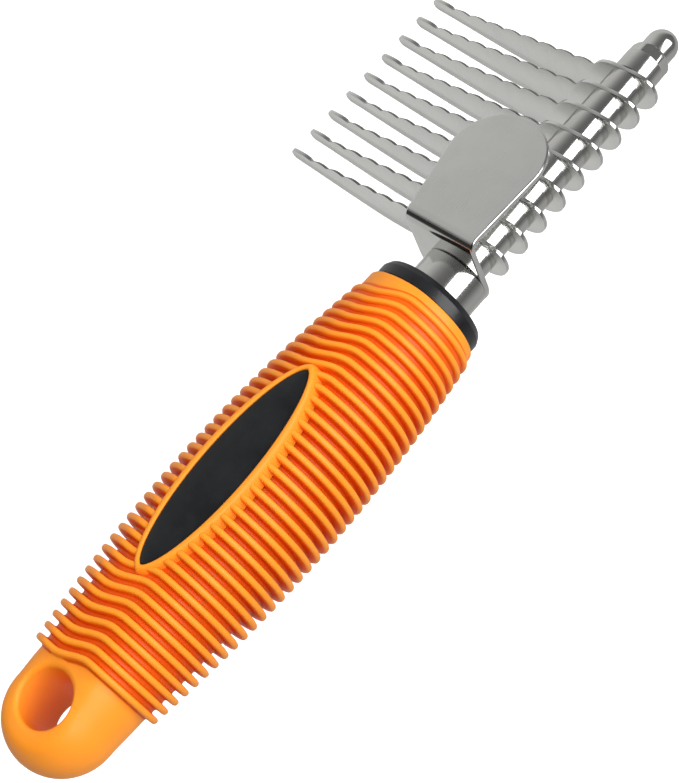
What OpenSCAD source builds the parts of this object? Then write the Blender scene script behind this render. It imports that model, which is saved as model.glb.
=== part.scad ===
// Dematting comb: nine scalloped blades stacked on a spindle, with a thumb rest and a ribbed grip.
// Millimetres. Origin: centre of the hang hole, on the spindle axis.
// +X runs along the spindle to the cap nut, +Z is the badge side, +Y is the blade side.

/* [View] */
// Sub-part to draw, or "all"

/* [Blades] */
// Number of blades; the named blade and spacer nodes match nine
blade_count = 9; // [9:1:9]
// Thickness of a blade
blade_thickness = 0.8; // [0.6:0.05:0.9]
// Distance from the spindle axis to a blade tip
blade_reach = 53.2; // [52.6:0.1:54]
// Radius of the round end behind the spindle
eye_radius = 6.8; // [6.6:0.05:7]
// Turn of the blades about the spindle, from level
blade_turn = -2; // [-6:1:2]
// Number of full scallops on the cutting edge
scallop_count = 8; // [5:1:8]
// Distance from one scallop to the next
scallop_pitch = 4.84; // [4.7:0.02:4.86]
// Depth of a scallop
scallop_depth = 0.9; // [0.7:0.1:0.9]
// Width of the ground bevel behind the cutting edge
bevel_width = 0.9; // [0.6:0.1:0.9]

/* [Spacers and cap nut] */
// Length of a spacer tube
spacer_length = 5; // [4.8:0.1:5.2]
// Diameter of the round part of the cap nut
nut_diameter = 8.8; // [8.4:0.1:9]
// Outer diameter of a spacer tube
spacer_diameter = 8.4; // [8.2:0.1:8.6]
// Length of the round part of the cap nut
nut_round_length = 4.6; // [4.4:0.1:5]
// Length of the spanner flats
nut_flat_length = 2.6; // [2.4:0.1:3]
// Distance across the spanner flats
nut_across_flats = 7.8; // [7.5:0.1:8.1]
// Diameter of the domed end
dome_diameter = 6.8; // [6.4:0.1:7.2]
// Overall length of the cap nut
nut_length = 13.5; // [13.2:0.1:14]

/* [Spindle] */
// Diameter of the spindle thread
thread_diameter = 5; // [4.8:0.1:5]
// Diameter of the bright collar
collar_diameter = 13.9; // [13.6:0.1:14.4]
// Length of collar that shows
collar_length = 7.25; // [7:0.05:7.5]

/* [Thumb rest] */
// Thickness of the thumb rest plate
plate_thickness = 1.3; // [1:0.1:1.5]
// Height of the pad's outer face above the spindle axis
pad_height = 13.5; // [13:0.1:14]
// Outer radius of the bend
bend_radius = 2.6; // [2:0.1:3.6]
// Radius of the pad's round end
pad_end_radius = 10.1; // [9.5:0.1:10.5]
// Length of the pad from the flange to its round end
pad_length = 28.9; // [28:0.1:30]

/* [Grip] */
// Number of ribs
rib_count = 37; // [30:1:37]
// Distance from one rib to the next
rib_pitch = 2.38; // [2.3:0.02:2.38]
// Thickness of a rib
rib_thickness = 1.25; // [1:0.05:1.4]
// Radius over the ribs at mid grip
rib_radius_mid = 16; // [15.6:0.1:16.4]
// Radius over the ribs at either end
rib_radius_end = 13.1; // [12.9:0.1:13.4]
// Axial step that each rib makes across the badge face
rib_step = 2.25; // [0:0.05:2.3]
// Radius of the smooth tail
tail_radius = 10.8; // [10.5:0.1:11.2]
// Height of the tail's sloping top face at the hang hole
tail_top = 8.5; // [8.2:0.1:8.8]
// Depth of the tail's flat underside below the spindle axis
tail_bottom = 8.4; // [8:0.1:8.8]
// Diameter of the hang hole
hole_diameter = 10.8; // [9:0.2:11]

/* [Badge] */
// Length of the blank badge
badge_length = 45; // [43:0.5:46]
// Width of the blank badge
badge_width = 10.4; // [10:0.1:11]
// Width of the raised rim round the badge
rim_width = 1.1; // [0.9:0.1:1.3]

/* [Hidden] */
$fn = 96;

// clearance round the spindle, on the radius
running_gap = 0.06;
moulded_gap = 0.03;

// stations along the spindle
first_rib_x = 9.3;
rib_span = (rib_count - 1) * rib_pitch;
rib_centre_x = first_rib_x + rib_span / 2;
sleeve_end_x = 97.6;
ring_end_x = 101.2;
collar_end_x = ring_end_x + collar_length;
flange_end_x = collar_end_x + plate_thickness;
blade_pitch = blade_thickness + spacer_length;
first_blade_x = flange_end_x + spacer_length;
nut_x = first_blade_x + blade_count * blade_pitch - spacer_length;

// rigid core inside the sleeve
core_radius = 7;
core_start_x = 12;
ring_radius = 11.65;
ring_lip = 0.6;
spigot_radius = 5.8;
spigot_start_x = 93;
tang_start_x = 40;
tang_end_x = 88;
tang_radius = 4.4;

// spindle end and cap nut
thread_radius = thread_diameter / 2;
bore_radius = thread_radius + running_gap;
thread_reach = 8;
nut_bore_depth = 8.6;
washer_seat_depth = 1;
washer_seat_radius = 3.5;
washer_radius = 3.2;
washer_thickness = 0.85;
washer_recess = 0.05;
nut_gap = 0.05;
nut_turn = 25;

// blade outline: scallop valleys lie on a line that falls towards the tip
last_valley = blade_reach - 6.1;
valley_root = 2.2;
valley_slope = -0.06;
scallop_radius = (pow(scallop_pitch / 2, 2) + pow(scallop_depth, 2)) / (2 * scallop_depth);
scallop_drop = scallop_radius - scallop_depth;
bevel_radius = scallop_radius - bevel_width;
strip_drop = scallop_drop - sqrt(pow(bevel_radius, 2) - pow(scallop_pitch / 2, 2)) + 0.1;
edge_land = 0.1;

// thumb rest outline: positions across the shaft, + towards the blades
flange_centre = 1.55;
flange_half_width = 8.35;
flange_foot = 0;
pad_end_centre = 2.6;
pad_end_x = collar_end_x + pad_length - pad_end_radius;

// grip: arc over the ribs, smooth skin between them, badge face
skin_radius_mid = 13.2;
skin_radius_tail = 11.2;
skin_radius_front = 12.35;
rib_sag = rib_radius_mid - rib_radius_end;
badge_x = 49.8;
badge_z = 14.85;
badge_tilt = 2.5;
badge_depth = 1.6;
rim_stand = 0.3;
rim_height = 4;
oval_power = 1.2;
step_start_y = -4.2;
step_end_y = 3.8;
tail_centre_x = -0.4;
tail_slope = 0.178;
face_rise = 1.9;
reach_y = 25;

function along(x) = (x - rib_centre_x) / (rib_span / 2);
function rib_radius(x) = rib_radius_mid - rib_sag * pow(along(x), 2);
function skin_end(x) = along(x) < 0 ? skin_radius_tail : skin_radius_front;
function skin_radius(x) = skin_radius_mid - (skin_radius_mid - skin_end(x)) * pow(along(x), 2);
function tail_face(x) = tail_top + tail_slope * x;
function tangent_turn(p, c, r, side) = atan2(c.y - p.y, c.x - p.x) + side * asin(r / norm(c - p));
function tangent_point(p, c, r, side) =
    let(turn = tangent_turn(p, c, r, side), run = sqrt(pow(norm(c - p), 2) - r * r))
    [p.x + run * cos(turn), p.y + run * sin(turn)];
function valley(r) = valley_root + valley_slope * r;
function valley_at(k) = last_valley - k * scallop_pitch;

// round bar along X
module bar(x0, x1, r) {
    translate([x0, 0, 0]) rotate([0, 90, 0]) cylinder(h = x1 - x0, r = r);
}

// cone frustum along X
module frustum(x0, x1, r0, r1) {
    translate([x0, 0, 0]) rotate([0, 90, 0]) cylinder(h = x1 - x0, r1 = r0, r2 = r1);
}

// flat outline (Y across, Z up) given a thickness along X
module across(x0, x1) {
    translate([x0, 0, 0]) rotate([90, 0, 90]) linear_extrude(height = x1 - x0) children();
}

// pointed oval: an ellipse whose ends are drawn in a little
module oval(length, width) {
    steps = 64;
    polygon([
        for (i = [0 : steps - 1])
            let (t = 360 * (i + 0.5) / steps, s = sin(t))
            [length / 2 * cos(t), width / 2 * sign(s) * pow(abs(s), oval_power)]
    ]);
}

// ---- grip ----

// smooth sleeve with its rounded tail, as a solid of revolution
module sleeve() {
    stations = [first_rib_x - 1, 22, 37, 52, 67, 82, sleeve_end_x];
    rotate([0, 90, 0]) rotate_extrude() {
        intersection() {
            translate([0, tail_centre_x]) circle(r = tail_radius);
            translate([0, tail_centre_x - tail_radius]) square(tail_radius);
        }
        polygon(concat(
            [[0, sleeve_end_x], [0, tail_centre_x], [tail_radius, tail_centre_x]],
            [for (x = stations) [skin_radius(x), x]]
        ));
    }
}

// keeps what lies under the sloping top face and above the flat underside of the tail
module tail_flats() {
    rotate([90, 0, 0]) linear_extrude(height = 2 * reach_y, center = true)
        polygon([
            [-reach_y, -tail_bottom], [first_rib_x - 3, -tail_bottom], [first_rib_x, -reach_y],
            [sleeve_end_x + 1, -reach_y], [sleeve_end_x + 1, tail_face(sleeve_end_x + 1)],
            [-reach_y, tail_face(-reach_y)]
        ]);
}

// badge frame: its plane leans towards the tail
module on_badge() {
    translate([badge_x, 0, badge_z]) rotate([0, -badge_tilt, 0]) children();
}

// one rib: a thin plate that steps towards the tail across the badge face
module rib(x) {
    a = x - rib_thickness / 2;
    b = x + rib_thickness / 2;
    face = min(tail_face(x) + face_rise, badge_z + (x - badge_x) * tan(badge_tilt));
    intersection() {
        bar(x - 4, x + 4, rib_radius(x));
        translate([x - 5, -reach_y, -reach_y]) cube([10, 2 * reach_y, reach_y + face]);
        translate([0, 0, -reach_y]) linear_extrude(height = 2 * reach_y)
            polygon([
                [a, -reach_y], [b, -reach_y], [b, step_start_y], [b - rib_step, step_end_y],
                [b - rib_step, reach_y], [a - rib_step, reach_y], [a - rib_step, step_end_y],
                [a, step_start_y]
            ]);
    }
}

module rubber_grip() {
    color([1, 0.55, 0.12])
    difference() {
        union() {
            intersection() {
                sleeve();
                tail_flats();
            }
            for (i = [0 : rib_count - 1]) rib(first_rib_x + i * rib_pitch);
            on_badge() translate([0, 0, -rim_height]) linear_extrude(height = rim_height + rim_stand)
                oval(badge_length + 2 * rim_width, badge_width + 2 * rim_width);
        }
        bar(core_start_x, sleeve_end_x + 1, core_radius + moulded_gap);
        on_badge() translate([0, 0, -badge_depth]) linear_extrude(height = 5) oval(badge_length, badge_width);
        cylinder(h = 40, d = hole_diameter, center = true);
    }
}

module handle_core() {
    color([0.09, 0.09, 0.1])
    difference() {
        union() {
            bar(core_start_x, sleeve_end_x, core_radius);
            bar(sleeve_end_x, ring_end_x - ring_lip, ring_radius);
            frustum(ring_end_x - ring_lip, ring_end_x, ring_radius, ring_radius - ring_lip);
        }
        bar(tang_end_x, ring_end_x + 1, bore_radius);
        bar(spigot_start_x, ring_end_x + 1, spigot_radius + moulded_gap);
        across(tang_start_x, tang_end_x + 0.01) circle(r = tang_radius + moulded_gap, $fn = 6);
    }
}

module badge_plate() {
    color([0.07, 0.07, 0.08])
    on_badge() translate([0, 0, -badge_depth]) linear_extrude(height = badge_depth)
        oval(badge_length - 2 * moulded_gap, badge_width - 2 * moulded_gap);
}

// ---- spindle ----

module collar() {
    lip = 0.4;
    radius = collar_diameter / 2;
    color([0.78, 0.78, 0.78])
    difference() {
        union() {
            bar(spigot_start_x, ring_end_x, spigot_radius);
            bar(ring_end_x, collar_end_x - lip, radius);
            frustum(collar_end_x - lip, collar_end_x, radius, radius - lip);
        }
        bar(spigot_start_x - 1, collar_end_x + 1, bore_radius);
    }
}

module spindle() {
    color([0.7, 0.7, 0.72]) {
        across(tang_start_x, tang_end_x) circle(r = tang_radius, $fn = 6);
        bar(tang_end_x, nut_x + thread_reach, thread_radius);
    }
}

// ---- thumb rest ----

module thumb_rest() {
    inner_radius = bend_radius - plate_thickness;
    bend_x = collar_end_x + bend_radius;
    bend_z = pad_height - bend_radius;
    left = flange_centre + flange_half_width;
    right = flange_centre - flange_half_width;
    foot_radius = flange_half_width;
    end_centre = [pad_end_x, pad_end_centre];
    color([0.72, 0.72, 0.72])
    difference() {
        union() {
            across(collar_end_x, flange_end_x) {
                polygon([[right, flange_foot], [left, flange_foot], [left, bend_z], [right, bend_z]]);
                translate([flange_centre, flange_foot]) circle(r = foot_radius);
            }
            intersection() {
                translate([bend_x, 0, bend_z]) rotate([90, 0, 0]) difference() {
                    cylinder(h = 2 * reach_y, r = bend_radius, center = true);
                    cylinder(h = 2 * reach_y + 1, r = inner_radius, center = true);
                }
                translate([collar_end_x - 1, right, bend_z]) cube([bend_radius + 1, left - right, bend_radius + 1]);
            }
            translate([0, 0, pad_height - plate_thickness]) linear_extrude(height = plate_thickness) {
                polygon([
                    [bend_x, right], tangent_point([bend_x, right], end_centre, pad_end_radius, -1),
                    end_centre,
                    tangent_point([bend_x, left], end_centre, pad_end_radius, 1), [bend_x, left]
                ]);
                translate(end_centre) circle(r = pad_end_radius);
            }
        }
        bar(collar_end_x - 1, flange_end_x + 1, bore_radius);
    }
}

// ---- blade pack ----

module spacer(i) {
    x = first_blade_x - spacer_length + i * blade_pitch;
    color([0.8, 0.8, 0.8])
    difference() {
        bar(x, x + spacer_length, spacer_diameter / 2);
        bar(x - 1, x + spacer_length + 1, bore_radius);
    }
}

// eye, tapered strip and blunt tip; the cutting edge is added by the scallops
module blade_outline() {
    root = valley_at(scallop_count);
    heel = last_valley + 1.2;
    tip_radius = 1.5;
    tip_x = blade_reach - tip_radius;
    tip_q = -1.3;
    side = eye_radius + 1;
    intersection() {
        circle(r = eye_radius);
        polygon([[-side, -side], [side, -side], [side, 3], [2.7, 4.4], [-3.6, 3.9], [-5.3, 3.2], [-side, 1]]);
    }
    polygon([
        [0, -eye_radius], [8, -7.4], [15, -7.9], [22, -8], [30, -7.3], [35, -6.35], [40, -5.3], [45, -4.2],
        [tip_x, tip_q - tip_radius], [tip_x, tip_q + tip_radius], [heel + 1, 0.25], [heel, -0.05],
        [last_valley, valley(last_valley)], [last_valley - 0.8, valley(last_valley) - strip_drop],
        [root + 0.8, valley(root) - strip_drop], [root, valley(root)], [7.2, 2.7], [6, 3.6], [4.5, 4.15],
        [2.7, 4.4], [0, 0]
    ]);
    translate([tip_x, tip_q]) circle(r = tip_radius);
}

// stretch of the blade that the scallops fill, from just inside the strip upwards
module scallop_band() {
    root = valley_at(scallop_count);
    depth = strip_drop + 0.3;
    polygon([
        [root, valley(root) - depth], [last_valley, valley(last_valley) - depth],
        [last_valley, valley(last_valley) + 3], [root, valley(root) + 3]
    ]);
}

// one scallop centred at r along the blade, with its ground bevel
module scallop(x, r) {
    translate([0, r, valley(r) - scallop_drop]) {
        bar(x, x + edge_land, scallop_radius);
        frustum(x + edge_land, x + blade_thickness, scallop_radius, bevel_radius);
    }
}

module blade(i) {
    x = first_blade_x + i * blade_pitch;
    color([0.66, 0.66, 0.65])
    rotate([blade_turn, 0, 0])
    difference() {
        union() {
            across(x, x + blade_thickness) blade_outline();
            intersection() {
                across(x, x + blade_thickness) scallop_band();
                for (k = [0 : scallop_count - 1]) scallop(x, (valley_at(k) + valley_at(k + 1)) / 2);
            }
        }
        bar(x - 1, x + blade_thickness + 1, bore_radius);
    }
}

// ---- cap nut ----

module lock_washer() {
    x = nut_x + washer_recess + nut_gap;
    color([0.75, 0.75, 0.77])
    difference() {
        bar(x, x + washer_thickness, washer_radius);
        bar(x - 1, x + washer_thickness + 1, bore_radius);
    }
}

module cap_nut() {
    x = nut_x + nut_gap;
    flats_x = x + nut_round_length;
    dome_x = flats_x + nut_flat_length;
    end_x = nut_x + nut_length;
    dome_radius = dome_diameter / 2;
    color([0.8, 0.8, 0.8])
    difference() {
        union() {
            bar(x, flats_x, nut_diameter / 2);
            intersection() {
                bar(flats_x, dome_x, nut_diameter / 2);
                rotate([nut_turn, 0, 0])
                    across(flats_x - 1, dome_x + 1) circle(r = nut_across_flats / 2 / cos(30), $fn = 6);
            }
            bar(dome_x, end_x - dome_radius, dome_radius);
            translate([end_x - dome_radius, 0, 0]) sphere(r = dome_radius);
        }
        bar(x - 1, x + nut_bore_depth, bore_radius);
        bar(x - 1, x + washer_seat_depth, washer_seat_radius);
    }
}

rubber_grip();
handle_core();
badge_plate();
collar();
spindle();
thumb_rest();
spacer(0);  // spacer_1
spacer(1);  // spacer_2
spacer(2);  // spacer_3
spacer(3);  // spacer_4
spacer(4);  // spacer_5
spacer(5);  // spacer_6
spacer(6);  // spacer_7
spacer(7);  // spacer_8
spacer(8);  // spacer_9
blade(0);  // blade_1
blade(1);  // blade_2
blade(2);  // blade_3
blade(3);  // blade_4
blade(4);  // blade_5
blade(5);  // blade_6
blade(6);  // blade_7
blade(7);  // blade_8
blade(8);  // blade_9
lock_washer();
cap_nut();
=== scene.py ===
import math

import bmesh
import bpy
import numpy as np
from mathutils import Matrix, Vector


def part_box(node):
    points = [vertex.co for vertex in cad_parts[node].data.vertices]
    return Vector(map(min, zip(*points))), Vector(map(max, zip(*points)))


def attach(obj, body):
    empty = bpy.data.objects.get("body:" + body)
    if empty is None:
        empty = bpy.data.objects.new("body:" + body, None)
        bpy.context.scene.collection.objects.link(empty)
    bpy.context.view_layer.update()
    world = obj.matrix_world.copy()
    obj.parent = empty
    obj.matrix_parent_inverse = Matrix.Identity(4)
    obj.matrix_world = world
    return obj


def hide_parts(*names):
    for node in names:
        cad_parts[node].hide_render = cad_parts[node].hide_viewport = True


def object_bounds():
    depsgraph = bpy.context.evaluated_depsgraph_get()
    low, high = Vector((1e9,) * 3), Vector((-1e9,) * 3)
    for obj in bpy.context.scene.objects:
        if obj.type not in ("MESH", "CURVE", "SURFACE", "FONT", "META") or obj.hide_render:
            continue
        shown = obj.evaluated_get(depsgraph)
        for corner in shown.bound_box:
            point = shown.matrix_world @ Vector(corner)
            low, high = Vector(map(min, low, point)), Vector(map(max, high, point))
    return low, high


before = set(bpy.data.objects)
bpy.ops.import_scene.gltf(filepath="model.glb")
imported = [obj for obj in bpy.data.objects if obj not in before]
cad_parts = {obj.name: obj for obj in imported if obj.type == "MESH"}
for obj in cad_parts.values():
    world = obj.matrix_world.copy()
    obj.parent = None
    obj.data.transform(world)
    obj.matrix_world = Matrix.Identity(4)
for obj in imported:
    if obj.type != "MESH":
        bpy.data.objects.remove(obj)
cad_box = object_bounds()
MM = 0.001

# ---------------------------------------------------------------- materials


def new_material(name):
    mat = bpy.data.materials.new(name)
    mat.use_nodes = True
    nodes = mat.node_tree.nodes
    nodes.clear()
    out = nodes.new("ShaderNodeOutputMaterial")
    shader = nodes.new("ShaderNodeBsdfPrincipled")
    mat.node_tree.links.new(shader.outputs["BSDF"], out.inputs["Surface"])
    return mat, shader


def link(mat, a, b):
    mat.node_tree.links.new(a, b)


def coords(mat, scale=(1, 1, 1)):
    tex = mat.node_tree.nodes.new("ShaderNodeTexCoord")
    mapping = mat.node_tree.nodes.new("ShaderNodeMapping")
    mapping.inputs["Scale"].default_value = scale
    link(mat, tex.outputs["Object"], mapping.inputs["Vector"])
    return mapping.outputs["Vector"]


def noise(mat, vector, scale, detail, rough=0.55):
    node = mat.node_tree.nodes.new("ShaderNodeTexNoise")
    node.inputs["Scale"].default_value = scale
    node.inputs["Detail"].default_value = detail
    node.inputs["Roughness"].default_value = rough
    link(mat, vector, node.inputs["Vector"])
    return node.outputs["Fac"]


def spread(mat, value, low, high, start=0.3, end=0.7, kind="LINEAR"):
    """Maps value from start..end to low..high. As in combine and ramp, mat may also be the world."""
    node = mat.node_tree.nodes.new("ShaderNodeMapRange")
    node.interpolation_type = kind
    node.inputs["From Min"].default_value = start
    node.inputs["From Max"].default_value = end
    node.inputs["To Min"].default_value = low
    node.inputs["To Max"].default_value = high
    link(mat, value, node.inputs["Value"])
    return node.outputs["Result"]


def ramp(mat, value, stops):
    node = mat.node_tree.nodes.new("ShaderNodeValToRGB")
    elements = node.color_ramp.elements
    while len(elements) < len(stops):
        elements.new(0.5)
    for element, (position, colour) in zip(elements, stops):
        element.position = position
        element.color = (*colour, 1)
    link(mat, value, node.inputs["Fac"])
    return node.outputs["Color"]


def bump(mat, shader, layers):
    previous = None
    for value, strength, distance in layers:
        node = mat.node_tree.nodes.new("ShaderNodeBump")
        node.inputs["Strength"].default_value = strength
        node.inputs["Distance"].default_value = distance
        link(mat, value, node.inputs["Height"])
        if previous is not None:
            link(mat, previous, node.inputs["Normal"])
        previous = node.outputs["Normal"]
    link(mat, previous, shader.inputs["Normal"])


def combine(mat, a, b, mode="ADD"):
    node = mat.node_tree.nodes.new("ShaderNodeMath")
    node.operation = mode
    for slot, value in zip(node.inputs, (a, b)):
        if isinstance(value, (int, float)):
            slot.default_value = value
        else:
            link(mat, value, slot)
    return node.outputs["Value"]


def soft_orange():
    mat, shader = new_material("soft_orange")
    place = coords(mat)
    cloud = noise(mat, place, 90, 3)
    grain = noise(mat, place, 2600, 2)
    pores = noise(mat, place, 900, 3)
    depth = mat.node_tree.nodes.new("ShaderNodeAttribute")
    depth.attribute_name = "crest"
    height = spread(mat, depth.outputs["Fac"], 0.0, 0.9, 0.0, 1.0)
    tone = combine(mat, height, spread(mat, cloud, 0.0, 0.1))
    # painted shade: valleys are a deeper, redder orange than the crests
    stops = [
        (0.0, (0.72, 0.09, 0.0015)), (0.3, (0.93, 0.2, 0.006)),
        (0.62, (0.99, 0.29, 0.017)), (1.0, (1.0, 0.325, 0.024)),
    ]
    link(mat, ramp(mat, tone, stops), shader.inputs["Base Color"])
    link(mat, spread(mat, pores, 0.36, 0.5), shader.inputs["Roughness"])
    shader.inputs["Subsurface Weight"].default_value = 0.12
    shader.inputs["Subsurface Radius"].default_value = (1.0, 0.35, 0.08)
    shader.inputs["Subsurface Scale"].default_value = 0.0012
    shader.inputs["Specular IOR Level"].default_value = 0.28
    bump(mat, shader, [(grain, 0.12, 0.00006), (pores, 0.15, 0.0001)])
    return mat


def black_plastic():
    mat, shader = new_material("black_plastic")
    place = coords(mat)
    grain = noise(mat, place, 2200, 4)
    wear = noise(mat, place, 160, 4)
    colour = ramp(mat, wear, [(0.35, (0.008, 0.008, 0.01)), (0.7, (0.015, 0.016, 0.018))])
    link(mat, colour, shader.inputs["Base Color"])
    link(mat, spread(mat, wear, 0.24, 0.38), shader.inputs["Roughness"])
    shader.inputs["Specular IOR Level"].default_value = 0.4
    bump(mat, shader, [(grain, 0.25, 0.00008)])
    return mat


def black_gloss():
    mat, shader = new_material("black_gloss")
    place = coords(mat)
    grain = noise(mat, place, 1800, 3)
    wear = noise(mat, place, 240, 5)
    colour = ramp(mat, wear, [(0.35, (0.006, 0.0065, 0.0075)), (0.7, (0.011, 0.012, 0.0135))])
    link(mat, colour, shader.inputs["Base Color"])
    link(mat, spread(mat, wear, 0.22, 0.34), shader.inputs["Roughness"])
    shader.inputs["Specular IOR Level"].default_value = 0.32
    bump(mat, shader, [(grain, 0.12, 0.00005)])
    return mat


def steel(name, tint, rough, brush=None, strength=0.25):
    """Stainless steel. brush is the object-space scale of its grain: small along the strokes, large across."""
    mat, shader = new_material(name)
    place = coords(mat)
    smudge = noise(mat, place, 110, 4)
    fine = noise(mat, place, 1500, 4)
    low, high = tint
    colour = ramp(mat, smudge, [(0.3, low), (0.7, high)])
    link(mat, colour, shader.inputs["Base Color"])
    shader.inputs["Metallic"].default_value = 1.0
    r_low, r_high = rough
    if brush is None:
        blend = combine(mat, smudge, fine, "MULTIPLY")
        link(mat, spread(mat, blend, r_low, r_high, 0.15, 0.4), shader.inputs["Roughness"])
        bump(mat, shader, [(fine, strength, 0.00002)])
    else:
        stroke = noise(mat, coords(mat, brush), 1.0, 5, 0.65)
        blend = combine(mat, combine(mat, stroke, 0.7, "MULTIPLY"), combine(mat, smudge, 0.3, "MULTIPLY"))
        link(mat, spread(mat, blend, r_low, r_high, 0.35, 0.65), shader.inputs["Roughness"])
        bump(mat, shader, [(stroke, strength, 0.00003)])
    return mat


ORANGE = soft_orange()
BLACK = black_plastic()
GLOSS = black_gloss()
TURNED = steel("turned_steel", ((0.55, 0.545, 0.53), (0.64, 0.635, 0.62)), (0.09, 0.17), (9000, 60, 60), 0.1)
PLAIN = steel("plain_steel", ((0.4, 0.4, 0.39), (0.5, 0.5, 0.49)), (0.2, 0.34), (4000, 200, 200), 0.25)
SATIN = steel("satin_steel", ((0.76, 0.76, 0.74), (0.83, 0.83, 0.81)), (0.26, 0.36), (160, 5200, 5200), 0.22)
BRIGHT = steel("bright_steel", ((0.6, 0.6, 0.585), (0.68, 0.68, 0.665)), (0.08, 0.15), (160, 5200, 5200), 0.1)
EDGE = steel("edge_steel", ((0.62, 0.62, 0.61), (0.75, 0.75, 0.74)), (0.12, 0.2))
BLADE = steel("blade_steel", ((0.76, 0.76, 0.745), (0.84, 0.84, 0.82)), (0.26, 0.38), (3000, 5200, 220), 0.2)
# painted shade: near-black steel on the scallops' ground bevels stands in for the dark slits between them
SHADED_BEVEL = steel("ground_bevel_painted_shade", ((0.1, 0.1, 0.097), (0.19, 0.19, 0.185)), (0.16, 0.28), (5200, 220, 3000), 0.35)

# ---------------------------------------------------------------- mesh helpers


def make_object(name, verts, faces, material_list, face_slots, smooth):
    """verts in millimetres. Edges sharper than smooth degrees stay crisp."""
    mesh = bpy.data.meshes.new(name)
    mesh.from_pydata([tuple(float(c) * MM for c in v) for v in verts], [], faces)
    for mat in material_list:
        mesh.materials.append(mat)
    if face_slots is not None:
        mesh.polygons.foreach_set("material_index", list(face_slots))
    mesh.polygons.foreach_set("use_smooth", [True] * len(mesh.polygons))
    mesh.update()
    mesh.set_sharp_from_angle(angle=math.radians(smooth))
    obj = bpy.data.objects.new(name, mesh)
    bpy.context.scene.collection.objects.link(obj)
    return obj


def weigh_normals(obj):
    """Flat faces stay flat and the small rounded edges take the shading."""
    mod = obj.modifiers.new("weighted", "WEIGHTED_NORMAL")
    mod.keep_sharp = True
    mod.weight = 60


def finish_piece(obj, body, *nodes, slot=None):
    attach(obj, body)
    if nodes:
        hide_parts(*nodes)
    return obj


def apply_modifier(obj, mod):
    bpy.context.view_layer.objects.active = obj
    with bpy.context.temp_override(object=obj, active_object=obj, selected_objects=[obj]):
        bpy.ops.object.modifier_apply(modifier=mod.name)


def ring_faces(rows, count):
    """Quads between successive rings of count vertices."""
    faces = []
    for i in range(rows - 1):
        for j in range(count):
            k = (j + 1) % count
            faces.append((i * count + j, i * count + k, (i + 1) * count + k, (i + 1) * count + j))
    return faces


def lathe(name, profile, mats, segments, closed=False, smooth=40, shape=None):
    """Revolves (x, r) points about the X axis. shape(i, angle, r) may change the radius of a point."""
    verts, faces, index = [], [], []
    for i, (x, r) in enumerate(profile):
        if r < 1e-6:
            index.append([len(verts)])
            verts.append((x, 0, 0))
            continue
        row = []
        for j in range(segments):
            a = 2 * math.pi * j / segments
            q = shape(i, a, r) if shape else r
            row.append(len(verts))
            verts.append((x, q * math.sin(a), q * math.cos(a)))
        index.append(row)
    pairs = list(range(len(profile) - 1)) + ([len(profile) - 1] if closed else [])
    for i in pairs:
        a, b = index[i], index[(i + 1) % len(profile)]
        for j in range(segments):
            k = (j + 1) % segments
            if len(a) == 1 and len(b) == 1:
                continue
            if len(a) == 1:
                face = (a[0], b[k], b[j])
            elif len(b) == 1:
                face = (a[j], a[k], b[0])
            else:
                face = (a[j], a[k], b[k], b[j])
            faces.append(face)
    return make_object(name, verts, faces, mats, None, smooth)


def fillet(points, radii, steps=4):
    """Rounds the corners of an open (x, r) polyline."""
    out = [points[0]]
    for i in range(1, len(points) - 1):
        p0, p1, p2 = (np.array(points[j], float) for j in (i - 1, i, i + 1))
        rad = radii[i]
        d0, d2 = p0 - p1, p2 - p1
        l0, l2 = np.linalg.norm(d0), np.linalg.norm(d2)
        if rad <= 0 or l0 < 1e-9 or l2 < 1e-9:
            out.append(tuple(p1))
            continue
        d0, d2 = d0 / l0, d2 / l2
        half = math.acos(max(-1, min(1, float(d0 @ d2)))) / 2
        back = min(rad / math.tan(half), l0 * 0.49, l2 * 0.49)
        for t in np.linspace(0, 1, steps + 1):
            a, b = p1 + d0 * back * (1 - t), p1 + d2 * back * t
            out.append(tuple(a * (1 - t) + b * t))
    out.append(points[-1])
    return out


def hollow_profile(outer, bore, radii):
    """Closed profile of a bored turning: outer points from low x to high x, then back along the bore."""
    x0, x1 = outer[0][0], outer[-1][0]
    points = [(x0, bore)] + list(outer) + [(x1, bore)]
    return fillet(points, [0] + list(radii) + [0])


# ---------------------------------------------------------------- sizes, in millimetres, in the CAD frame

FIRST_RIB, RIB_PITCH, RIB_COUNT = 9.3, 2.38, 37
SLEEVE_END, RING_END = 97.6, 101.2
RIB_SPAN = (RIB_COUNT - 1) * RIB_PITCH
RIB_MID = FIRST_RIB + RIB_SPAN / 2
RIB_STEP, STEP_START, STEP_END = 2.25, -4.2, 3.8
HOLE_RADIUS = 5.4
TAIL_TOP, TAIL_SLOPE, TAIL_BOTTOM = 8.5, 0.178, 8.4
TAIL_CENTRE, TAIL_BALL, TAIL_JOIN = -0.4, 10.8, 8.3
BADGE_X, BADGE_Z, BADGE_TILT = 49.8, 14.85, 2.5
BADGE_LENGTH, BADGE_WIDTH, RIM_WIDTH = 45.0, 10.4, 1.1
OVAL_POINTS, OVAL_POWER = 160, 1.2
COLLAR_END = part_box("collar")[1].x / MM
PLATE_THICKNESS = 1.3
BORE, ROD_RADIUS = 2.56, 2.5
COLLAR_START, COLLAR_RADIUS, SPACER_RADIUS = 93.0, 6.95, 4.2
TANG_END, TANG_RADIUS = 88.0, 4.4
BLADES = [f"blade_{i}" for i in range(1, 10)]
SPACERS = [f"spacer_{i}" for i in range(1, 10)]

# ---------------------------------------------------------------- grip


def along(x):
    return (x - RIB_MID) / (RIB_SPAN / 2)


def smooth_step(t):
    t = np.clip(t, 0, 1)
    return t * t * (3 - 2 * t)


def rib_radius(x):
    return 16 - 2.9 * along(x) ** 2


def skin_radius(x):
    a = along(x)
    return 13.2 - np.where(a < 0, 2.0, 0.85) * a * a


def tail_face(x):
    return TAIL_TOP + TAIL_SLOPE * x


def badge_plane(x):
    return BADGE_Z + (x - BADGE_X) * math.tan(math.radians(BADGE_TILT))


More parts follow.
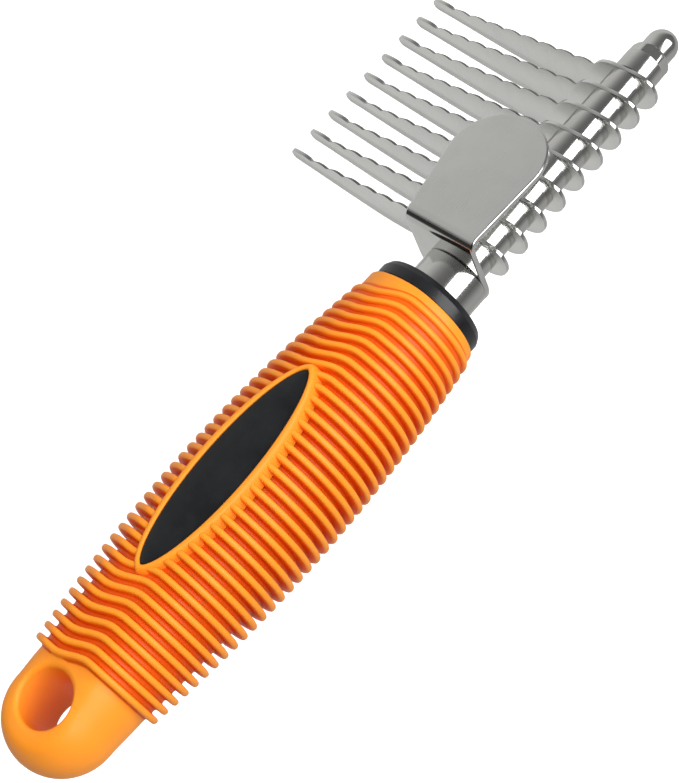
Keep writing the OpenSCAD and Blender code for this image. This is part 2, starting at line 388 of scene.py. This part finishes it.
def smooth_min(a, b, k):
    h = np.clip(0.5 + 0.5 * (b - a) / k, 0, 1)
    return b * (1 - h) + a * h - k * h * (1 - h)


def tail_radius(x):
    """Radius of the smooth tail: a sphere that runs into the sleeve."""
    ball = np.sqrt(np.maximum(TAIL_BALL**2 - (np.minimum(x, TAIL_CENTRE) - TAIL_CENTRE) ** 2, 0))
    start = skin_radius(TAIL_JOIN)
    cone = TAIL_BALL + (start - TAIL_BALL) * smooth_step((x - TAIL_CENTRE) / (TAIL_JOIN - TAIL_CENTRE))
    return np.where(x < TAIL_CENTRE, ball, np.where(x < TAIL_JOIN, cone, skin_radius(x)))


def oval(length, width):
    points = []
    for i in range(OVAL_POINTS):
        t = 2 * math.pi * (i + 0.5) / OVAL_POINTS
        s = math.sin(t)
        points.append((length / 2 * math.cos(t), width / 2 * math.copysign(abs(s) ** OVAL_POWER, s)))
    return points


def inside_oval(x, y, length, width):
    u = np.clip(np.abs(x) / (length / 2), 0, 1)
    return np.abs(y) < width / 2 * np.sqrt(1 - u * u) ** OVAL_POWER


def rib_offsets():
    """(offset from the rib centre, blend from skin to crest, millimetres below the crest)."""
    half = 0.62
    left = [(-1.19, 0, 0), (-0.95, 0.01, 0), (-0.82, 0.05, 0), (-0.73, 0.14, 0), (-0.68, 0.32, 0)]
    left += [(-0.64, 1, -0.75), (-half, 1, -0.5), (-0.54, 1, -0.26), (-0.4, 1, -0.1), (-0.2, 1, -0.02)]
    return left + [(0, 1, 0)] + [(-u, w, d) for u, w, d in reversed(left[1:])]


def grip_rings():
    """Each ring: (u, blend, drop). u is the place along the handle before the step is applied."""
    rings = [(TAIL_CENTRE - TAIL_BALL * math.cos(math.radians(a)), 0, 0) for a in np.linspace(4, 88, 18)]
    rings += [(u, 0, 0) for u in np.linspace(0.4, 8.0, 14)]
    for i in range(RIB_COUNT):
        centre = FIRST_RIB + i * RIB_PITCH
        rings += [(centre + du, w, d) for du, w, d in rib_offsets()]
    return rings


def grip_surface(segments=168):
    rings = grip_rings()
    last = rings[-1][0]
    rings += [(last + 0.25, 0, 0), (SLEEVE_END - 0.5, 0, 0)]
    angle = np.arange(segments) * 2 * math.pi / segments
    sin, cos = np.sin(angle), np.cos(angle)
    rows, crests = [], []
    for u, w, drop in rings:
        ground = tail_radius(np.full(segments, u))
        crest = np.full(segments, rib_radius(u))
        reach = ground * (1 - w) + crest * w
        y = reach * sin
        share = smooth_step((y - STEP_START + 0.6) / (STEP_END - STEP_START + 1.2))
        fade = smooth_step((u + 2) / 9) * smooth_step((SLEEVE_END - u) / 2.2)
        x = u - RIB_STEP * share * fade
        up = np.maximum(cos, 0.02)
        floor_face = tail_face(x)
        rib_face = np.minimum(tail_face(x) + 1.9, badge_plane(x))
        ground = np.where(cos > 0.02, smooth_min(ground, floor_face / up, 1.2), ground)
        top = np.where(cos > 0.02, smooth_min(crest, rib_face / up, 0.5), crest)
        down = np.maximum(-cos, 0.02)
        under = TAIL_BOTTOM + 4.5 * smooth_step((x - 2) / 8)
        ground = np.where(cos < -0.02, smooth_min(ground, under / down, 1.0), ground)
        if w >= 1:
            depth = np.minimum(-drop, (top - ground) * 0.6)
            r = top - depth
        else:
            r = ground + (np.maximum(top - 0.75, ground + 0.2) - ground) * w
        r = np.maximum(r, ground)
        px, py, pz = x, r * sin, r * cos
        local_x = (px - BADGE_X) / math.cos(math.radians(BADGE_TILT))
        seat = badge_plane(px) - 0.9
        sunk = inside_oval(local_x, py, BADGE_LENGTH + RIM_WIDTH, BADGE_WIDTH + RIM_WIDTH) & (cos > 0)
        r = np.where(sunk & (pz > seat), seat / up, r)
        rows.append(np.stack([x, r * sin, r * cos], 1))
        # crest value for the painted shade in the rib valleys: 1 on the crests and the tail, lower down the flanks, 0
        # in the valleys
        tall = (w >= 1) * (1 - np.minimum(-drop, 0.75) * 0.9) if w > 0 else 0.0
        crests.append(np.broadcast_to(1.0 if u < 8.2 or u > last + 0.1 else tall, (segments,)))
    return rows, crests, segments


def loft(name, rows, count, mats, cap_start=None, cap_end=None, smooth=40):
    verts = [tuple(v) for row in rows for v in row]
    faces = ring_faces(len(rows), count)
    if cap_start is not None:
        verts.append(cap_start)
        k = len(verts) - 1
        faces += [(k, (j + 1) % count, j) for j in range(count)]
    if cap_end is not None:
        verts.append(cap_end)
        k = len(verts) - 1
        base = (len(rows) - 1) * count
        faces += [(k, base + j, base + (j + 1) % count) for j in range(count)]
    return make_object(name, verts, faces, mats, None, smooth)


def hole_cutter(segments=96):
    """Hole with softly rounded mouths; the upper mouth follows the sloping top of the tail."""
    mouth, rows, heights = 1.1, [], []
    for a in np.linspace(0, 90, 9):
        flare = mouth * (1 - math.sin(math.radians(a)))
        heights.append((HOLE_RADIUS + flare, mouth * (1 - math.cos(math.radians(a)))))
    bottom = [(r, -TAIL_BOTTOM + h) for r, h in heights]
    top = [(r, TAIL_TOP - h) for r, h in reversed(heights)]
    profile = [(HOLE_RADIUS + mouth + 0.05, -14.0)] + bottom + top + [(HOLE_RADIUS + mouth + 0.05, 14.0)]
    for r, z in profile:
        lean = TAIL_SLOPE if z > 0 else 0.0
        row = []
        for j in range(segments):
            a = 2 * math.pi * j / segments
            x, y = r * math.cos(a), r * math.sin(a)
            row.append((x, y, z + lean * x))
        rows.append(row)
    return loft("hole_cutter", rows, segments, [ORANGE], (0, 0, -14), (0, 0, 14))


def mark_crests(obj, values):
    """How far each vertex stands up from the valleys, for the painted shade that makes the rubber's valleys darker and
    redder.
    """
    layer = obj.data.attributes.new("crest", "FLOAT", "POINT")
    layer.data.foreach_set("value", [float(v) for v in values])


def build_grip():
    rows, crests, count = grip_surface()
    # front edge, rounded, then down to the core
    end = rows[-1]
    radius = np.linalg.norm(end[:, 1:], axis=1)
    unit = end[:, 1:] / radius[:, None]
    for dx, dr in ((0.25, -0.03), (0.42, -0.14), (0.5, -0.35), (0.5, -1.2)):
        x = end[:, 0] + dx
        rows.append(np.concatenate([x[:, None], unit * (radius + dr)[:, None]], 1))
        crests.append(np.ones(count))
    obj = loft("grip_sleeve", rows, count, [ORANGE], (TAIL_CENTRE - TAIL_BALL, 0, 0), (SLEEVE_END, 0, 0), 55)
    mark_crests(obj, list(np.concatenate(crests)) + [1.0, 1.0])
    cutter = hole_cutter()
    mod = obj.modifiers.new("hole", "BOOLEAN")
    mod.operation = "DIFFERENCE"
    mod.solver = "EXACT"
    mod.object = cutter
    apply_modifier(obj, mod)
    bpy.data.objects.remove(cutter)
    # painted shade: the tail is all crest, apart from the hole's wall, which is painted darker with depth
    layer = obj.data.attributes["crest"]
    for vertex, item in zip(obj.data.vertices, layer.data):
        x, y, z = (c / MM for c in vertex.co)
        reach = math.hypot(x, y)
        if x < 6.9 and reach < 7.5:
            item.value = 1.0 - 0.55 * smooth_step((reach < 5.6) * (8.0 + TAIL_SLOPE * x - z) / 6.0)
    obj.data.polygons.foreach_set("use_smooth", [True] * len(obj.data.polygons))
    obj.data.set_sharp_from_angle(angle=math.radians(60))
    return obj


def on_badge(points):
    """Badge frame to the CAD frame."""
    t = math.radians(BADGE_TILT)
    out = []
    for x, y, z in points:
        out.append((BADGE_X + x * math.cos(t) - z * math.sin(t), y, BADGE_Z + x * math.sin(t) + z * math.cos(t)))
    return out


def build_rim():
    """Raised lip round the badge, faired into the ribs on its outside."""
    section = [
        (-0.02, -2.0), (-0.02, 0.0), (0.06, 0.16), (0.22, 0.26), (0.45, 0.3),
        (0.7, 0.27), (0.95, 0.16), (1.15, -0.05), (1.35, -0.4), (1.6, -1.1), (1.9, -3.0),
    ]
    rows = []
    for inset, z in section:
        rows.append(on_badge([(x, y, z) for x, y in oval(BADGE_LENGTH + 2 * inset, BADGE_WIDTH + 2 * inset)]))
    obj = loft("badge_rim", rows, OVAL_POINTS, [ORANGE], None, None, 60)
    mark_crests(obj, [1.0] * (OVAL_POINTS * len(rows)))
    return obj


def build_badge():
    """Blank inlay: a low dome with a narrow rounded edge."""
    section = [(0.06, -1.5), (0.06, -0.32), (0.1, -0.18), (0.22, -0.07), (0.4, -0.03), (1.2, 0.05), (2.6, 0.13)]
    rows = []
    for inset, z in section:
        rows.append(on_badge([(x, y, z) for x, y in oval(BADGE_LENGTH - 2 * inset, BADGE_WIDTH - 2 * inset)]))
    for share in (0.6, 0.25):
        inner = oval((BADGE_LENGTH - 5.2) * share, (BADGE_WIDTH - 5.2) * share)
        rows.append(on_badge([(x, y, 0.13 + 0.05 * (1 - share)) for x, y in inner]))
    top = on_badge([(0, 0, 0.18)])[0]
    base = on_badge([(0, 0, -1.5)])[0]
    return loft("badge_inlay", rows, OVAL_POINTS, [GLOSS], base, top, 60)


finish_piece(build_grip(), "handle", "rubber_grip", slot="soft_orange")
finish_piece(build_rim(), "handle", "rubber_grip", slot="soft_orange")
finish_piece(build_badge(), "handle", "badge_plate", slot="black_gloss")

# ---------------------------------------------------------------- core and front ring


def build_core():
    profile = [
        (12.0, 0.0), (12.0, 7.0), (SLEEVE_END - 0.6, 7.0), (SLEEVE_END + 0.02, 11.0), (SLEEVE_END + 0.1, 11.6),
        (RING_END - 1.3, 11.62), (RING_END - 0.05, 11.0), (RING_END, 10.6), (RING_END - 0.05, 7.4),
        (RING_END - 0.5, 7.15), (RING_END - 0.5, 5.8), (COLLAR_START, 5.8), (COLLAR_START, 0.0),
    ]
    radii = [0, 0.3, 0, 0.1, 0.25, 0.6, 0.35, 0.2, 0.15, 0.1, 0, 0, 0]
    return lathe("core_and_ring", fillet(profile, radii, 5), [BLACK], 128)


finish_piece(build_core(), "handle", "handle_core", slot="black_plastic")

# ---------------------------------------------------------------- spindle, collar, spacers


def build_spindle():
    """Rod with a threaded end and the hexagonal tang inside the handle."""
    low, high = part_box("spindle")
    x0, x1 = low.x / MM, high.x / MM
    thread_start, pitch, depth = x1 - 11.5, 0.8, 0.26
    segments, rows = 48, []
    angles = [2 * math.pi * j / segments for j in range(segments)]

    def row(x, fn):
        rows.append([(x, fn(a) * math.sin(a), fn(a) * math.cos(a)) for a in angles])

    def hexagon(a):
        b = (a + math.pi / 6) % (math.pi / 3) - math.pi / 6
        return TANG_RADIUS * math.cos(math.pi / 6) / math.cos(b)

    row(x0, hexagon)
    row(TANG_END, hexagon)
    row(TANG_END, lambda a: ROD_RADIUS)
    row(thread_start - 0.4, lambda a: ROD_RADIUS)
    steps = int((x1 - 0.5 - thread_start) / 0.1)
    for i in range(steps + 1):
        x = thread_start + 0.1 * i

        def thread(a, x=x):
            phase = (x / pitch + a / (2 * math.pi)) % 1
            ridge = 1 - abs(2 * phase - 1)
            fade = min(1, (x - thread_start) / 0.8, (x1 - 0.4 - x) / 0.5 + 0.4)
            return ROD_RADIUS - depth * fade * min(1, max(0, 1.15 - 1.3 * ridge))

        row(x, thread)
    row(x1, lambda a: 2.05)
    return loft("spindle_rod", rows, segments, [PLAIN], (x0, 0, 0), (x1, 0, 0), 70)


def build_collar():
    x0 = RING_END
    outer = [(COLLAR_START, 5.77), (x0 - 0.45, 5.77), (x0 - 0.45, COLLAR_RADIUS), (COLLAR_END, COLLAR_RADIUS)]
    profile = hollow_profile(outer, BORE, [0, 0, 0.2, 0.35])
    return lathe("collar_turned", profile, [TURNED], 128, closed=True)


def build_spacer(node):
    low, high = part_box(node)
    x0, x1 = low.x / MM, high.x / MM
    profile = hollow_profile([(x0, SPACER_RADIUS), (x1, SPACER_RADIUS)], BORE, [0.18, 0.18])
    return lathe(f"{node}_tube", profile, [TURNED], 96, closed=True)


finish_piece(build_spindle(), "handle", "spindle", slot="plain_steel")
finish_piece(build_collar(), "handle", "collar", slot="polished_steel")
for node in SPACERS:
    finish_piece(build_spacer(node), "handle", node, slot="polished_steel")

# ---------------------------------------------------------------- blades

BLADE_TURN = math.radians(-2)
REACH, EYE = 53.2, 6.8
PITCH_S, DEPTH_S, BEVEL_S, COUNT_S = 4.84, 0.9, 0.9, 8
LAST_VALLEY = REACH - 6.1


def valley(r):
    return 2.2 - 0.06 * r


def arc(cx, cy, rad, a0, a1, steps):
    return [
        (cx + rad * math.cos(math.radians(a)), cy + rad * math.sin(math.radians(a)))
        for a in np.linspace(a0, a1, steps)
    ]


def curve(points, steps):
    """Smooth curve through points (Catmull-Rom), steps to a span."""
    pts = [np.array(p, float) for p in points]
    out = []
    for i in range(1, len(pts) - 2):
        p0, p1, p2, p3 = pts[i - 1 : i + 3]
        for t in np.arange(steps) / steps:
            square = (2 * p0 - 5 * p1 + 4 * p2 - p3) * t**2
            cube = (3 * p1 - p0 - 3 * p2 + p3) * t**3
            out.append(tuple(0.5 * (2 * p1 + (p2 - p0) * t + square + cube)))
    out.append(tuple(pts[-2]))
    out.append(tuple(pts[-1]))
    return out


def blade_loops():
    """Blade outline, its outward normals, the ground-in outline of its far face, and a tag for each point."""
    rad = ((PITCH_S / 2) ** 2 + DEPTH_S**2) / (2 * DEPTH_S)
    drop = rad - DEPTH_S
    inner = rad - BEVEL_S
    root = LAST_VALLEY - COUNT_S * PITCH_S
    outline = []
    # eye, from the lower tangent round the back to the scalloped side
    for p in arc(0, 0, EYE, -90, -186, 34):
        outline.append((p, "eye"))
    crown = [(-6.74, 0.88), (-6.76, 0.72), (-6.38, 2.12), (-5.25, 3.22), (-3.6, 3.86), (-0.5, 4.17), (2.7, 4.36)]
    crown += [(4.5, 4.1), (6.0, 3.54), (7.2, 2.65), (root, valley(root))]
    for p in curve(crown, 6)[6:-1]:
        outline.append((p, "land"))
    for k in range(COUNT_S - 1, -1, -1):
        centre = LAST_VALLEY - (k + 0.5) * PITCH_S
        base = valley(centre) - drop
        for r in np.linspace(centre - PITCH_S / 2, centre + PITCH_S / 2, 15)[(0 if k == COUNT_S - 1 else 1):]:
            outline.append(((r, base + math.sqrt(rad**2 - (r - centre) ** 2)), "scallop"))
    tip = 1.5
    for p in [(47.6, -0.4), (48.2, -0.12), (48.9, 0.1), (49.7, 0.2), (50.8, 0.23)]:
        outline.append((p, "land"))
    for p in arc(REACH - tip, -1.3, tip, 84, -76, 15):
        outline.append((p, "tip"))
    back = [(52.1, -2.74), (48.5, -3.44), (45, -4.2), (40, -5.3), (35, -6.34), (30, -7.28), (26, -7.75), (22, -7.96)]
    back += [(18.5, -7.95), (15, -7.88), (11.5, -7.65), (8, -7.38), (4, -7.08), (0.9, -6.85), (0, -EYE)]
    for p in back[1:-1]:
        outline.append((p, "back"))
    points = np.array([p for p, _ in outline])
    tags = [t for _, t in outline]
    nxt, prv = np.roll(points, -1, 0), np.roll(points, 1, 0)
    tangent = nxt - prv
    normal = np.stack([tangent[:, 1], -tangent[:, 0]], 1)
    normal /= np.linalg.norm(normal, axis=1)[:, None]
    area = np.sum(points[:, 0] * nxt[:, 1] - nxt[:, 0] * points[:, 1])
    if area < 0:
        normal = -normal
    inset = points.copy()
    for i, tag in enumerate(tags):
        if tag == "scallop":
            r = points[i, 0]
            k = min(COUNT_S - 1, max(0, int((LAST_VALLEY - r) / PITCH_S)))
            centre = LAST_VALLEY - (k + 0.5) * PITCH_S
            inset[i, 1] = valley(centre) - drop + math.sqrt(max(inner**2 - (r - centre) ** 2, 0.01))
    return points, normal, inset, tags


def build_blade(node):
    low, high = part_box(node)
    x0, x1 = low.x / MM, high.x / MM
    points, normal, inset, tags = blade_loops()
    count = len(points)
    chamfer = 0.07
    ground = np.array([t == "scallop" for t in tags])
    head = np.where(ground[:, None], inset, points - normal * chamfer)
    steps = [
        (x0, points - normal * np.where(ground, 0.02, chamfer)[:, None]),
        (x0 + 0.02, points - normal * np.where(ground, 0.01, chamfer * 0.4)[:, None]),
        (x0 + chamfer, points),
        (np.where(ground, x0 + 0.12, x1 - chamfer), points),
        (x1 - 0.02, head + np.where(ground[:, None], 0, normal * chamfer * 0.6)),
        (x1, head),
    ]
    ca, sa = math.cos(BLADE_TURN), math.sin(BLADE_TURN)
    rows = []
    for x, loop in steps:
        xs = np.broadcast_to(x, (count,))
        ys = loop[:, 0] * ca - loop[:, 1] * sa
        zs = loop[:, 0] * sa + loop[:, 1] * ca
        rows.append(list(zip(xs, ys, zs)))
    verts = [v for row in rows for v in row]
    faces = ring_faces(len(rows), count)
    # the scallops' ground bevels take the near-black third steel: painted shade for the dark slits between them
    slots = [2 if ground[j] and ground[(j + 1) % count] else 1 for j in range(count)] * (len(rows) - 1)
    faces.append(tuple(range(count - 1, -1, -1)))
    slots.append(0)
    base = (len(rows) - 1) * count
    faces.append(tuple(range(base, base + count)))
    slots.append(0)
    obj = make_object(f"{node}_ground", verts, faces, [BLADE, EDGE, SHADED_BEVEL], slots, 30)
    bm = bmesh.new()
    bm.from_mesh(obj.data)
    bmesh.ops.recalc_face_normals(bm, faces=bm.faces)
    bm.to_mesh(obj.data)
    bm.free()
    return obj


for node in BLADES:
    finish_piece(build_blade(node), "handle", node, slot="blade_steel")

# ---------------------------------------------------------------- thumb rest

PAD_HEIGHT, BEND_RADIUS = 13.5, 2.6
PAD_LENGTH, PAD_END_RADIUS, PAD_END_CENTRE = 28.9, 10.1, 2.6
FLANGE_CENTRE, FLANGE_HALF = 1.55, 8.35


def rest_outline():
    """Flat blank: s runs up the flange, round the bend and out along the pad; y across."""
    bend_length = math.pi / 2 * (BEND_RADIUS - PLATE_THICKNESS / 2)
    s_bend = PAD_HEIGHT - BEND_RADIUS
    s_pad = s_bend + bend_length
    pad_run = PAD_LENGTH - BEND_RADIUS - PAD_END_RADIUS
    left, right = FLANGE_CENTRE + FLANGE_HALF, FLANGE_CENTRE - FLANGE_HALF
    points = arc(0, FLANGE_CENTRE, FLANGE_HALF, 270, 90, 40)
    points += [(s_bend, left), (s_pad, left)]
    rise, fall = PAD_END_CENTRE - left, PAD_END_CENTRE - right
    # the long sides run tangent to the round end
    first = math.atan2(rise, pad_run) + math.asin(PAD_END_RADIUS / math.hypot(pad_run, rise))
    last = math.atan2(fall, pad_run) - math.asin(PAD_END_RADIUS / math.hypot(pad_run, fall))
    start, stop = 90 + math.degrees(first), math.degrees(last) - 90
    points += arc(s_pad + pad_run, PAD_END_CENTRE, PAD_END_RADIUS, start, stop, 44)
    points += [(s_pad, right), (s_bend, right)]
    return points, s_bend, s_pad


def build_thumb_rest():
    """The blank with rounded edges, cut into strips and then bent. Its flange and bend are brighter than the pad."""
    outline, s_bend, s_pad = rest_outline()
    loop = np.array(outline)
    nxt, prv = np.roll(loop, -1, 0), np.roll(loop, 1, 0)
    t0, t1 = loop - prv, nxt - loop
    t0 /= np.linalg.norm(t0, axis=1)[:, None]
    t1 /= np.linalg.norm(t1, axis=1)[:, None]
    n0 = np.stack([t0[:, 1], -t0[:, 0]], 1)
    n1 = np.stack([t1[:, 1], -t1[:, 0]], 1)
    normal = n0 + n1
    normal /= np.linalg.norm(normal, axis=1)[:, None]
    area = np.sum(loop[:, 0] * nxt[:, 1] - nxt[:, 0] * loop[:, 1])
    if area < 0:
        normal = -normal
    thick, rad = PLATE_THICKNESS, 0.4
    rows = []
    for a in np.linspace(0, 90, 6):
        c, s = math.cos(math.radians(a)), math.sin(math.radians(a))
        rows.append((loop - normal * rad * (1 - s), -rad * (1 - c)))
    for a in np.linspace(90, 0, 6):
        c, s = math.cos(math.radians(a)), math.sin(math.radians(a))
        rows.append((loop - normal * rad * (1 - s), -thick + rad * (1 - c)))
    count = len(loop)
    verts = [(p[0], p[1], h) for ring, h in rows for p in ring]
    faces = ring_faces(len(rows), count)
    slots = [1] * len(faces)
    faces.append(tuple(range(count)))
    slots.append(0)
    base = (len(rows) - 1) * count
    faces.append(tuple(range(base + count - 1, base - 1, -1)))
    slots.append(0)
    bm = bmesh.new()
    made = [bm.verts.new(v) for v in verts]
    for face, slot in zip(faces, slots):
        f = bm.faces.new([made[i] for i in face])
        f.material_index = slot
    cuts = [s_bend + (s_pad - s_bend) * t for t in np.linspace(0, 1, 17)]
    cuts += [s_bend * t for t in (0.15, 0.5)] + [s_pad + d for d in (1.0, 4.0, 8.0, 12.0, 16.0, 20.0)]
    for s in cuts:
        geom = bm.verts[:] + bm.edges[:] + bm.faces[:]
        bmesh.ops.bisect_plane(bm, geom=geom, dist=1e-6, plane_co=(s, 0, 0), plane_no=(1, 0, 0))
    middle = BEND_RADIUS - thick / 2
    for v in bm.verts:
        s, y, h = v.co
        if s < s_bend:
            x, z = COLLAR_END - h, s
        elif s < s_pad:
            a = (s - s_bend) / middle
            rr = BEND_RADIUS + h
            x, z = COLLAR_END + BEND_RADIUS - rr * math.cos(a), PAD_HEIGHT - BEND_RADIUS + rr * math.sin(a)
        else:
            x, z = COLLAR_END + BEND_RADIUS + (s - s_pad), PAD_HEIGHT + h
        v.co = (x * MM, y * MM, z * MM)
    bend_end = (COLLAR_END + BEND_RADIUS * 0.4) * MM
    for f in bm.faces:
        if f.material_index == 0 and f.calc_center_median().x < bend_end:
            f.material_index = 2
    bmesh.ops.recalc_face_normals(bm, faces=bm.faces)
    mesh = bpy.data.meshes.new("thumb_rest_plate")
    bm.to_mesh(mesh)
    bm.free()
    mesh.materials.append(SATIN)
    mesh.materials.append(EDGE)
    mesh.materials.append(BRIGHT)
    mesh.polygons.foreach_set("use_smooth", [True] * len(mesh.polygons))
    mesh.set_sharp_from_angle(angle=math.radians(40))
    obj = bpy.data.objects.new("thumb_rest_plate", mesh)
    bpy.context.scene.collection.objects.link(obj)
    weigh_normals(obj)
    return obj


finish_piece(build_thumb_rest(), "handle", "thumb_rest", slot="satin_steel")

# ---------------------------------------------------------------- cap nut and lock washer

NUT_FLAT, FLAT_RADIUS = math.radians(35), 3.9


def build_nut():
    low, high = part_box("cap_nut")
    x0, x1 = low.x / MM, high.x / MM
    flats, dome, rad, outer = x0 + 4.6, x0 + 7.2, 3.4, 4.4
    profile = [
        (x0 + 8.6, 0.0), (x0 + 8.6, BORE), (x0 + 1.0, BORE), (x0 + 1.0, 3.5), (x0 + 0.06, 3.5), (x0, 3.58),
        (x0, outer - 0.16), (x0 + 0.05, outer - 0.05), (x0 + 0.16, outer), (flats - 0.03, outer),
        (flats, outer - 0.02), (flats + 0.01, outer - 0.03), (flats + 0.05, outer - 0.04), (dome - 0.75, outer - 0.04),
        (dome - 0.45, outer - 0.14), (dome - 0.15, outer - 0.38), (dome, outer - 0.6), (dome, rad + 0.1),
        (dome + 0.04, rad + 0.02), (dome + 0.12, rad),
    ]
    flat_rows = range(11, 17)
    profile += [
        (x1 - rad + rad * math.sin(math.radians(a)), rad * math.cos(math.radians(a)) if a < 90 else 0.0)
        for a in np.linspace(0, 90, 15)
    ]

    def shape(i, a, r):
        if i not in flat_rows:
            return r
        b = (a - NUT_FLAT + math.pi / 6) % (math.pi / 3) - math.pi / 6
        return min(r, FLAT_RADIUS / math.cos(b))

    return lathe("cap_nut_turned", profile, [TURNED], 144, smooth=28, shape=shape)


def build_washer():
    low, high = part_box("lock_washer")
    x0, x1 = low.x / MM, high.x / MM
    profile = hollow_profile([(x0, 3.2), (x1, 3.2)], BORE, [0.08, 0.08])
    return lathe("lock_washer_ring", profile, [PLAIN], 72, closed=True)


finish_piece(build_nut(), "nut", "cap_nut", slot="polished_steel")
finish_piece(build_washer(), "washer", "lock_washer", slot="plain_steel")

# ---------------------------------------------------------------- floor, light, camera


def build_floor():
    mat, shader = new_material("pale_floor")
    place = coords(mat)
    cloud = noise(mat, place, 3, 2)
    colour = ramp(mat, cloud, [(0.3, (0.93, 0.93, 0.93)), (0.7, (0.96, 0.96, 0.96))])
    link(mat, colour, shader.inputs["Base Color"])
    shader.inputs["Roughness"].default_value = 0.7
    shader.inputs["Specular IOR Level"].default_value = 0.1
    link(mat, colour, shader.inputs["Emission Color"])
    shader.inputs["Emission Strength"].default_value = 0.5
    mesh = bpy.data.meshes.new("floor")
    s, z = 3.0, cad_box[0][2] - 0.03
    mesh.from_pydata([(-s, -s, z), (s, -s, z), (s, s, z), (-s, s, z)], [], [(0, 1, 2, 3)])
    mesh.materials.append(mat)
    obj = bpy.data.objects.new("floor", mesh)
    bpy.context.scene.collection.objects.link(obj)
    obj.visible_glossy = False
    obj.visible_diffuse = False


def area_light(name, place, target, size, power):
    data = bpy.data.lights.new(name, "AREA")
    data.shape = "RECTANGLE"
    data.size, data.size_y = size
    data.energy = power
    obj = bpy.data.objects.new(name, data)
    obj.location = place
    obj.rotation_euler = (Vector(target) - Vector(place)).to_track_quat("-Z", "Y").to_euler()
    bpy.context.scene.collection.objects.link(obj)
    return obj


def build_light():
    """A grey studio whose tone turns about the comb's length, a dark card past the tail, a softbox and a fill."""
    world = bpy.data.worlds.new("studio")
    bpy.context.scene.world = world
    world.use_nodes = True
    nodes = world.node_tree.nodes
    back = nodes["Background"]
    place = nodes.new("ShaderNodeTexCoord")
    split = nodes.new("ShaderNodeSeparateXYZ")
    link(world, place.outputs["Generated"], split.inputs["Vector"])
    turn = combine(world, split.outputs["Y"], split.outputs["Z"], "ARCTAN2")
    # degrees from straight up, towards the blades, and the brightness there
    stops = [(-180, 0.5), (-157, 0.46), (-138, 0.5), (-125, 0.42), (-112, 0.27), (-101, 0.17), (-88, 0.2)]
    stops += [(-60, 0.18), (-15, 0.17), (2, 0.21), (18, 0.32), (35, 0.5), (52, 0.66), (90, 0.7), (116, 0.6)]
    stops += [(146, 0.64), (180, 0.5)]
    greys = [(degrees / 360 + 0.5, (value, value, value * 0.985)) for degrees, value in stops]
    tone = ramp(world, spread(world, turn, 0.0, 1.0, -math.pi, math.pi), greys)
    card = spread(world, split.outputs["X"], 0.0, 1.0, -0.42, -0.62, "SMOOTHSTEP")
    rise = spread(world, split.outputs["Z"], 0.0, 1.0, -0.15, 0.1, "SMOOTHSTEP")
    cut = spread(world, combine(world, card, rise, "MULTIPLY"), 1.0, 0.06, 0.0, 1.0)
    shade = nodes.new("ShaderNodeMix")
    shade.data_type = "RGBA"
    shade.blend_type = "MULTIPLY"
    factor, first, second = shade.inputs[0], shade.inputs[6], shade.inputs[7]
    factor.default_value = 1.0
    link(world, tone, first)
    link(world, cut, second)
    link(world, shade.outputs[2], back.inputs["Color"])
    back.inputs["Strength"].default_value = 1.0
    middle = (0.085, 0.0, 0.0)
    area_light("near_box", (0.33, -0.9, 0.6), middle, (1.3, 0.9), 17.0)
    # the fill is kept out of the metal's reflections
    top = area_light("top_box", (-0.1, 0.1, 1.2), middle, (0.9, 0.9), 6.0)
    top.visible_glossy = False


def build_camera():
    """Fitted to the photograph's view."""
    data = bpy.data.cameras.new("camera")
    data.sensor_width = 36
    data.lens = 75.22
    data.clip_start, data.clip_end = 0.01, 10
    obj = bpy.data.objects.new("camera", data)
    axes = (
        (0.650527, 0.726916, -0.220018),
        (-0.702709, 0.466187, -0.537467),
        (-0.288124, 0.504245, 0.814077),
    )
    obj.matrix_world = Matrix.Translation((0.00931, -0.1616, 0.248194)) @ Matrix(axes).to_4x4()
    bpy.context.scene.collection.objects.link(obj)
    bpy.context.scene.camera = obj


build_floor()
build_light()
build_camera()
bpy.context.scene.view_settings.view_transform = "Standard"
